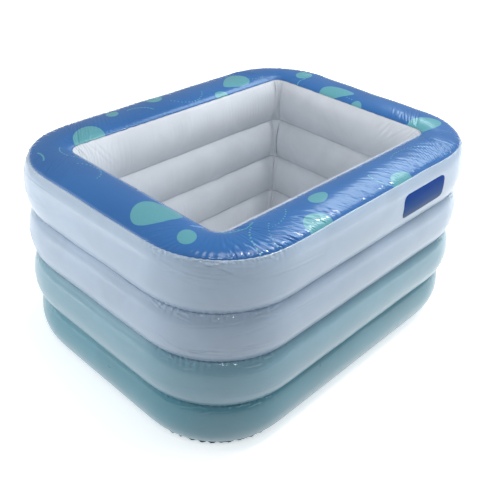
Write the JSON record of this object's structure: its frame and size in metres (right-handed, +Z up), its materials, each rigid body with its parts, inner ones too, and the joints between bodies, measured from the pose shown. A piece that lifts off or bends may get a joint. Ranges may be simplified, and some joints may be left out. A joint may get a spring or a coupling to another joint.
{
  "type": "inflatable bathtub",
  "caption": "Inflatable rectangular bathtub with a wall of stacked air rings, a soft inflated floor, push-in valves and a floor drain.",
  "frame": {"origin": "on the floor under the middle of the tub", "axes": "+X along the long side towards the end wall with the valves, +Y across the tub away from the long side with the bare patch, +Z up"},
  "size_m": [1.322, 1.025, 0.6724],
  "materials": {
    "rim_blue": "gloss",
    "skin_white": "gloss",
    "skin_aqua": "gloss",
    "skin_teal": "gloss",
    "liner_grey": "satin",
    "web_film": "satin",
    "base_teal": "satin",
    "patch_blue": "gloss",
    "valve_vinyl": "gloss",
    "plug_vinyl": "satin",
    "flap_vinyl": "satin",
    "drain_vinyl": "gloss"
  },
  "bodies": {
    "tub": {"rim_film": "rim_blue", "ring_1_outer_skin": "skin_white", "ring_1_inner_skin": "liner_grey", "ring_2_outer_skin": "skin_white", "ring_2_inner_skin": "liner_grey", "ring_3_outer_skin": "skin_aqua", "ring_3_inner_skin": "liner_grey", "ring_4_outer_skin": "skin_teal", "ring_4_inner_skin": "liner_grey", "partition_web_1": "web_film", "partition_web_2": "web_film", "partition_web_3": "web_film", "base_sheet": "base_teal", "floor_film": "liner_grey", "drain_well_sleeve": "liner_grey", "side_patch": "patch_blue", "ring_1_valve_body": "valve_vinyl", "ring_2_valve_body": "valve_vinyl", "ring_3_valve_body": "valve_vinyl", "ring_4_valve_body": "valve_vinyl", "floor_valve_body": "valve_vinyl", "drain_body": "drain_vinyl"},
    "ring_1_plug": {"ring_1_valve_plug": "plug_vinyl"},
    "ring_1_flap": {"ring_1_check_flap": "flap_vinyl"},
    "ring_2_plug": {"ring_2_valve_plug": "plug_vinyl"},
    "ring_2_flap": {"ring_2_check_flap": "flap_vinyl"},
    "ring_3_plug": {"ring_3_valve_plug": "plug_vinyl"},
    "ring_3_flap": {"ring_3_check_flap": "flap_vinyl"},
    "ring_4_plug": {"ring_4_valve_plug": "plug_vinyl"},
    "ring_4_flap": {"ring_4_check_flap": "flap_vinyl"},
    "floor_plug": {"floor_valve_plug": "plug_vinyl"},
    "floor_flap": {"floor_check_flap": "flap_vinyl"},
    "stopper": {"drain_stopper": "plug_vinyl"}
  },
  "joints": [
    {"name": "ring_1_plug_pull", "type": "slide", "parent": "tub", "child": "ring_1_plug", "axis": [1, 0, 0], "range_m": [0, 0.016]},
    {"name": "ring_1_flap_swing", "type": "hinge", "parent": "tub", "child": "ring_1_flap", "pos_m": [0.63171, 0.225, 0.5812], "axis": [0, 1, 0], "range_deg": [0, 40], "stiffness_Nm_per_rad": 0.001, "springref_deg": -11.46},
    {"name": "ring_2_plug_pull", "type": "slide", "parent": "tub", "child": "ring_2_plug", "axis": [1, 0, 0], "range_m": [0, 0.016]},
    {"name": "ring_2_flap_swing", "type": "hinge", "parent": "tub", "child": "ring_2_flap", "pos_m": [0.63645, 0.225, 0.4207], "axis": [0, 1, 0], "range_deg": [0, 40], "stiffness_Nm_per_rad": 0.001, "springref_deg": -11.46},
    {"name": "ring_3_plug_pull", "type": "slide", "parent": "tub", "child": "ring_3_plug", "axis": [1, 0, 0], "range_m": [0, 0.016]},
    {"name": "ring_3_flap_swing", "type": "hinge", "parent": "tub", "child": "ring_3_flap", "pos_m": [0.64025, 0.225, 0.2612], "axis": [0, 1, 0], "range_deg": [0, 40], "stiffness_Nm_per_rad": 0.001, "springref_deg": -11.46},
    {"name": "ring_4_plug_pull", "type": "slide", "parent": "tub", "child": "ring_4_plug", "axis": [0.9924, 0, -0.1229], "range_m": [0, 0.016]},
    {"name": "ring_4_flap_swing", "type": "hinge", "parent": "tub", "child": "ring_4_flap", "pos_m": [0.63126, 0.225, 0.09637], "axis": [0, 1, 0], "range_deg": [0, 40], "stiffness_Nm_per_rad": 0.001, "springref_deg": -11.46},
    {"name": "floor_plug_pull", "type": "slide", "parent": "tub", "child": "floor_plug", "axis": [0, 0, 1], "range_m": [0, 0.016]},
    {"name": "floor_flap_swing", "type": "hinge", "parent": "tub", "child": "floor_flap", "pos_m": [0.33, 0.1772, 0.0219], "axis": [1, 0, 0], "range_deg": [0, 40], "stiffness_Nm_per_rad": 0.001, "springref_deg": -11.46},
    {"name": "stopper_pull", "type": "slide", "parent": "tub", "child": "stopper", "axis": [0, 0, 1], "range_m": [0, 0.022]}
  ]
}
